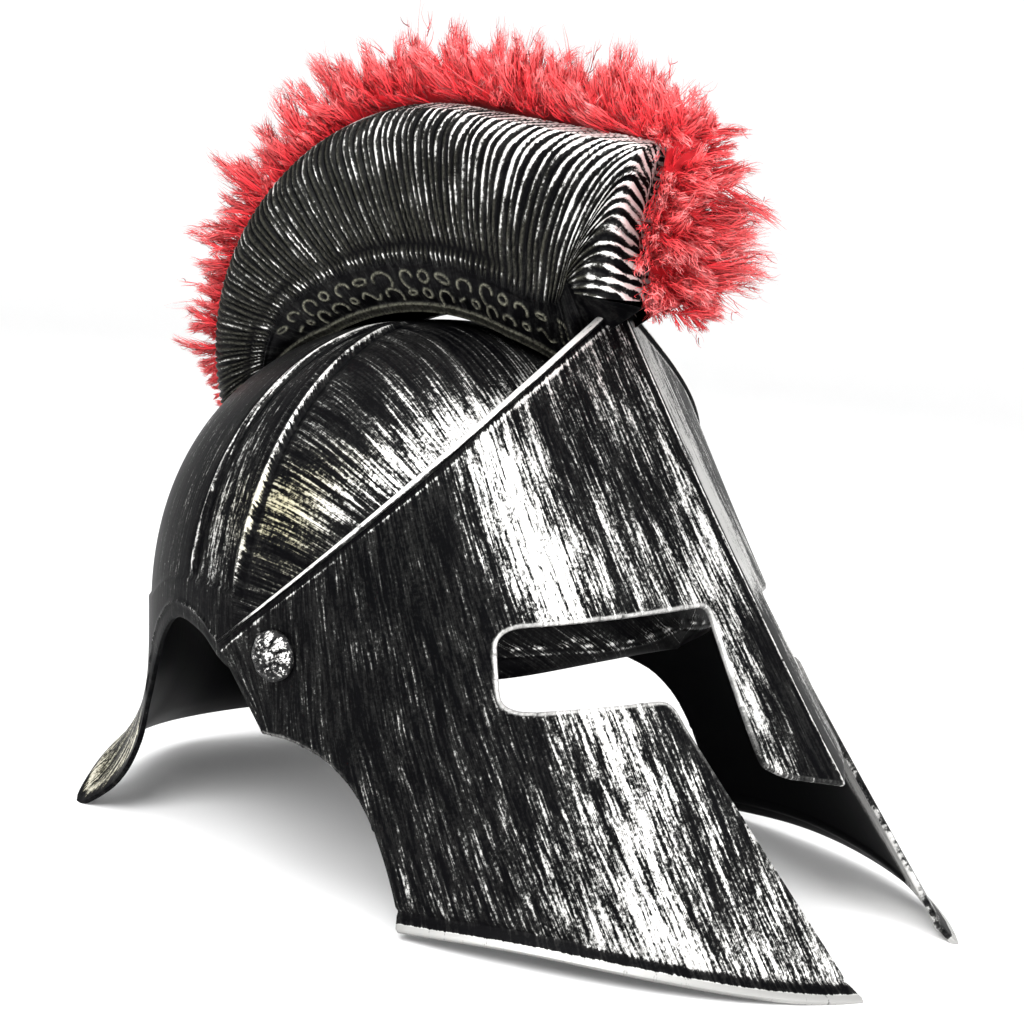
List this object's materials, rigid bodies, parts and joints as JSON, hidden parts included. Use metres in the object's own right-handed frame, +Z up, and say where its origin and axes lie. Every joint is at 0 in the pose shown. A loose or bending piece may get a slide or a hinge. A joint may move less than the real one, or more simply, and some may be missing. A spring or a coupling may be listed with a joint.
{
  "type": "gladiator helmet",
  "caption": "Hollow costume helmet: domed cap with flared neck guard, creased face visor pivoting on temple studs, ribbed hollow crest and a fluffy plume along the crest's edge.",
  "frame": {"origin": "on the floor under the middle of the helmet's width and length, as it stands on its cheek tips and neck guard", "axes": "+X to the wearer's left, -Y to the front, +Z up"},
  "size_m": [0.2148, 0.3086, 0.2704],
  "materials": {
    "cap": "black plastic dry-brushed with silver",
    "visor": "black plastic dry-brushed with bright silver along the face",
    "crest": "black plastic, ribs and scrolls picked out in silver and olive gold",
    "plume": "red marabou feather trim",
    "stud": "silver rosette"
  },
  "bodies": {
    "helmet": {"skull_cap": "cap", "crest": "crest", "plume": "plume", "stud_left": "stud", "stud_right": "stud"},
    "visor": {"visor": "visor"}
  },
  "joints": [
    {"name": "visor_pivot", "type": "hinge", "parent": "helmet", "child": "visor", "pos_m": [0, 0.02481, 0.07673], "axis": [1, 0, 0], "range_deg": [0, 15]}
  ]
}
